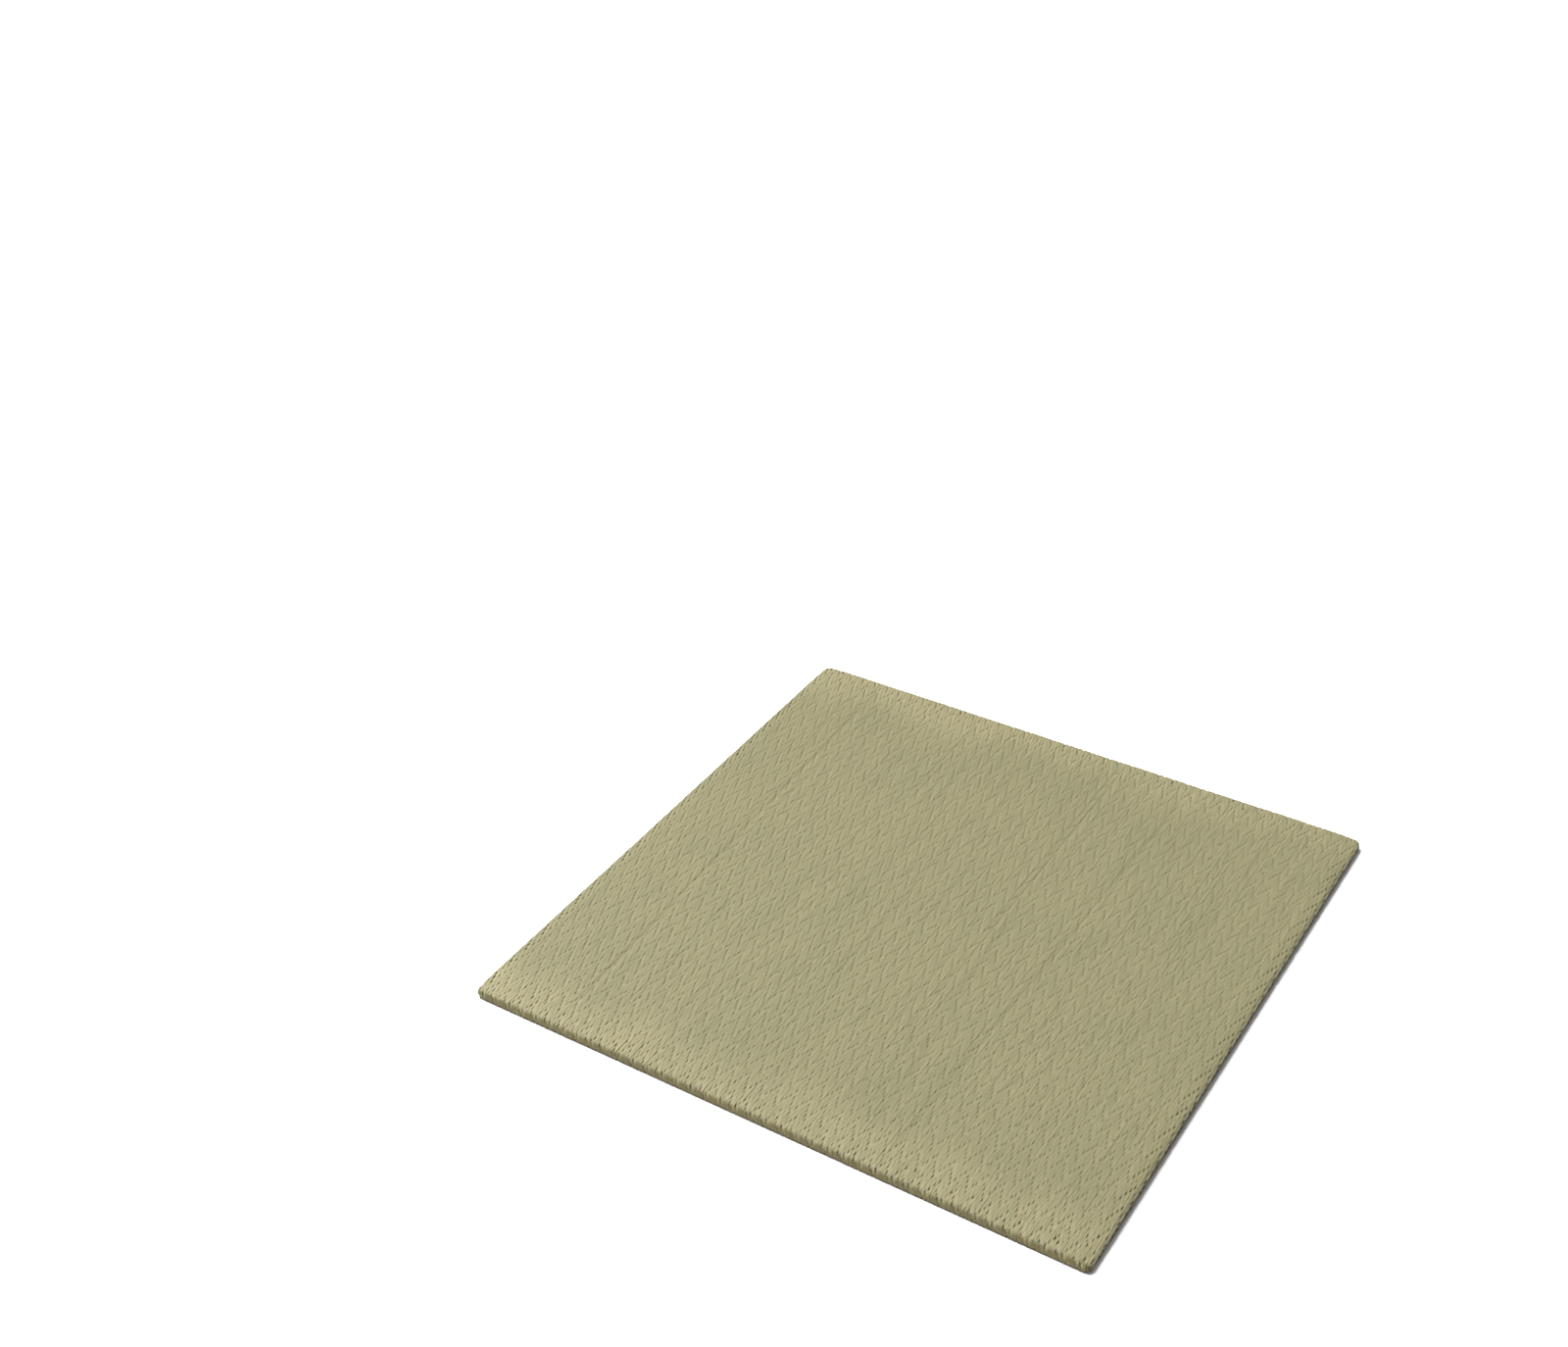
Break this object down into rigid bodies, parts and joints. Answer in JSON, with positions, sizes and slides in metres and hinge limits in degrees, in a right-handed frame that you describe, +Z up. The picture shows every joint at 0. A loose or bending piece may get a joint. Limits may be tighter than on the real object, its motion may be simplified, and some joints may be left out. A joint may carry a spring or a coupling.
{
  "type": "borderless tatami mat",
  "caption": "Flat square floor mat: a stiff board wrapped in woven rush, with no cloth border, its strands bent down over two opposite sides.",
  "frame": {"origin": "middle of the underside, on the floor", "axes": "+Z up through the thickness; +Y along the rush strands, from the near side to the far side; +X across the strands, to the right"},
  "size_m": [0.82, 0.82, 0.015],
  "materials": {
    "woven_rush": "dried olive-straw rush in a zigzag twill, with a soft low sheen along the strands"
  },
  "bodies": {
    "root": {"mat": "woven_rush"}
  },
  "joints": []
}
